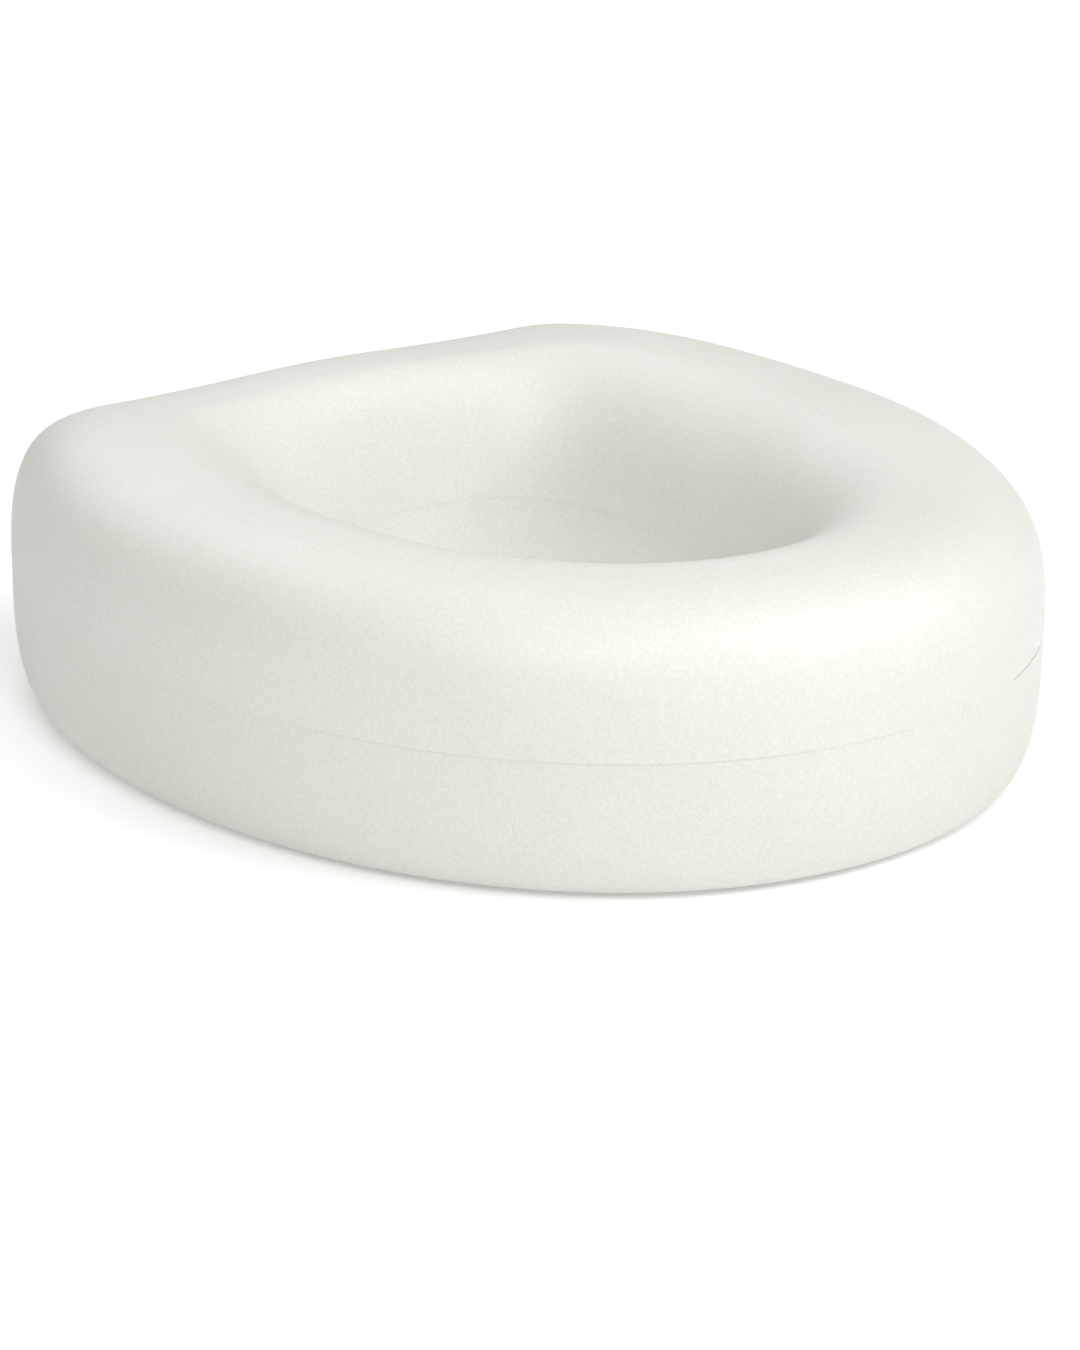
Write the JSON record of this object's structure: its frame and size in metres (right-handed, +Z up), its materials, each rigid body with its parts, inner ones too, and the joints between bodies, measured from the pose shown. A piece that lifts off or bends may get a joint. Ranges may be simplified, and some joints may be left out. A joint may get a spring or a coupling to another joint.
{
  "type": "raised toilet seat",
  "caption": "Hollow moulded raised toilet seat: a deep contoured ring with a rounded front and straight back that stands on the bowl on rubber pads and lifts the sitting height.",
  "frame": {"origin": "middle of the footprint, on the plane that the rubber pads stand on", "axes": "+Z up out of the seat; the rounded front faces -Y and the straight back faces +Y; +X to the right when looking along +Y; symmetric about X = 0"},
  "size_m": [0.384, 0.401, 0.1148],
  "materials": {
    "seat_plastic": "fine matte moulded grain",
    "base_plastic": "fine matte moulded grain",
    "cap_plastic": "matte",
    "pad_rubber": "matte ribbed",
    "seal_rubber": "soft foam",
    "vent_rubber": "matte",
    "screw_steel": "stainless, plain"
  },
  "bodies": {
    "root": {"seat_shell": "seat_plastic", "base_shell": "base_plastic", "outer_joint_seal": "seal_rubber", "inner_joint_seal": "seal_rubber", "assembly_screws": "screw_steel", "well_caps": "cap_plastic", "vent_plug": "vent_rubber", "front_left_pad": "pad_rubber", "front_right_pad": "pad_rubber", "rear_left_pad": "pad_rubber", "rear_right_pad": "pad_rubber"}
  },
  "joints": []
}
